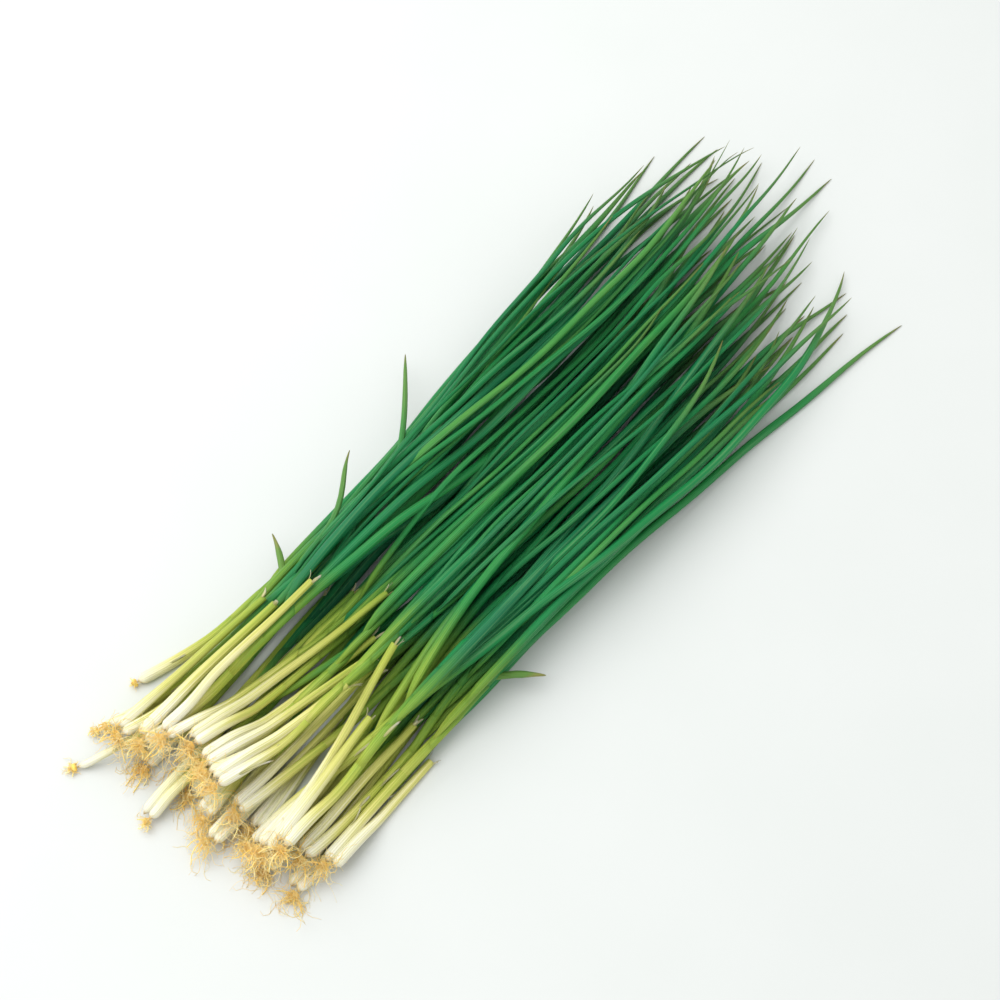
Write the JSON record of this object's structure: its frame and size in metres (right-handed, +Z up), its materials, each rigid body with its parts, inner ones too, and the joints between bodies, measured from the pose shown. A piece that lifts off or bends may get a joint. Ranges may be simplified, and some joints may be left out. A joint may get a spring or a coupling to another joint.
{
  "type": "chive bunch",
  "caption": "Loose bunch of fresh chives lying flat: white bulbs with tan roots, pale sheaths and long hollow pointed green leaves, some shoots cut short.",
  "frame": {"origin": "bottom centre of the bunch's box, on the surface it lies on", "axes": "+X along the bunch from the roots to the leaf tips, +Y across the bunch, +Z up from the surface it lies on"},
  "size_m": [0.4096, 0.145, 0.0354],
  "materials": {
    "leaf": "satin, faintly waxy, white at the bulb to deep green",
    "root": "matte, dry and fibrous"
  },
  "bodies": {
    "root": {"chive_01": "leaf", "roots_01": "root", "chive_02": "leaf", "roots_02": "root", "chive_03": "leaf", "roots_03": "root", "chive_04": "leaf", "roots_04": "root", "chive_05": "leaf", "roots_05": "root", "chive_06": "leaf", "roots_06": "root", "chive_07": "leaf", "roots_07": "root", "chive_08": "leaf", "roots_08": "root", "chive_09": "leaf", "roots_09": "root", "chive_10": "leaf", "roots_10": "root", "chive_11": "leaf", "roots_11": "root", "chive_12": "leaf", "roots_12": "root", "chive_13": "leaf", "roots_13": "root", "chive_14": "leaf", "roots_14": "root", "chive_15": "leaf", "roots_15": "root", "chive_16": "leaf", "roots_16": "root", "chive_17": "leaf", "roots_17": "root", "chive_18": "leaf", "roots_18": "root", "chive_19": "leaf", "roots_19": "root", "chive_20": "leaf", "roots_20": "root", "chive_21": "leaf", "roots_21": "root", "chive_22": "leaf", "roots_22": "root", "chive_23": "leaf", "roots_23": "root", "chive_24": "leaf", "roots_24": "root", "chive_25": "leaf", "roots_25": "root", "chive_26": "leaf", "roots_26": "root", "chive_27": "leaf", "roots_27": "root", "chive_28": "leaf", "roots_28": "root", "chive_29": "leaf", "roots_29": "root", "chive_30": "leaf", "roots_30": "root"}
  },
  "joints": []
}
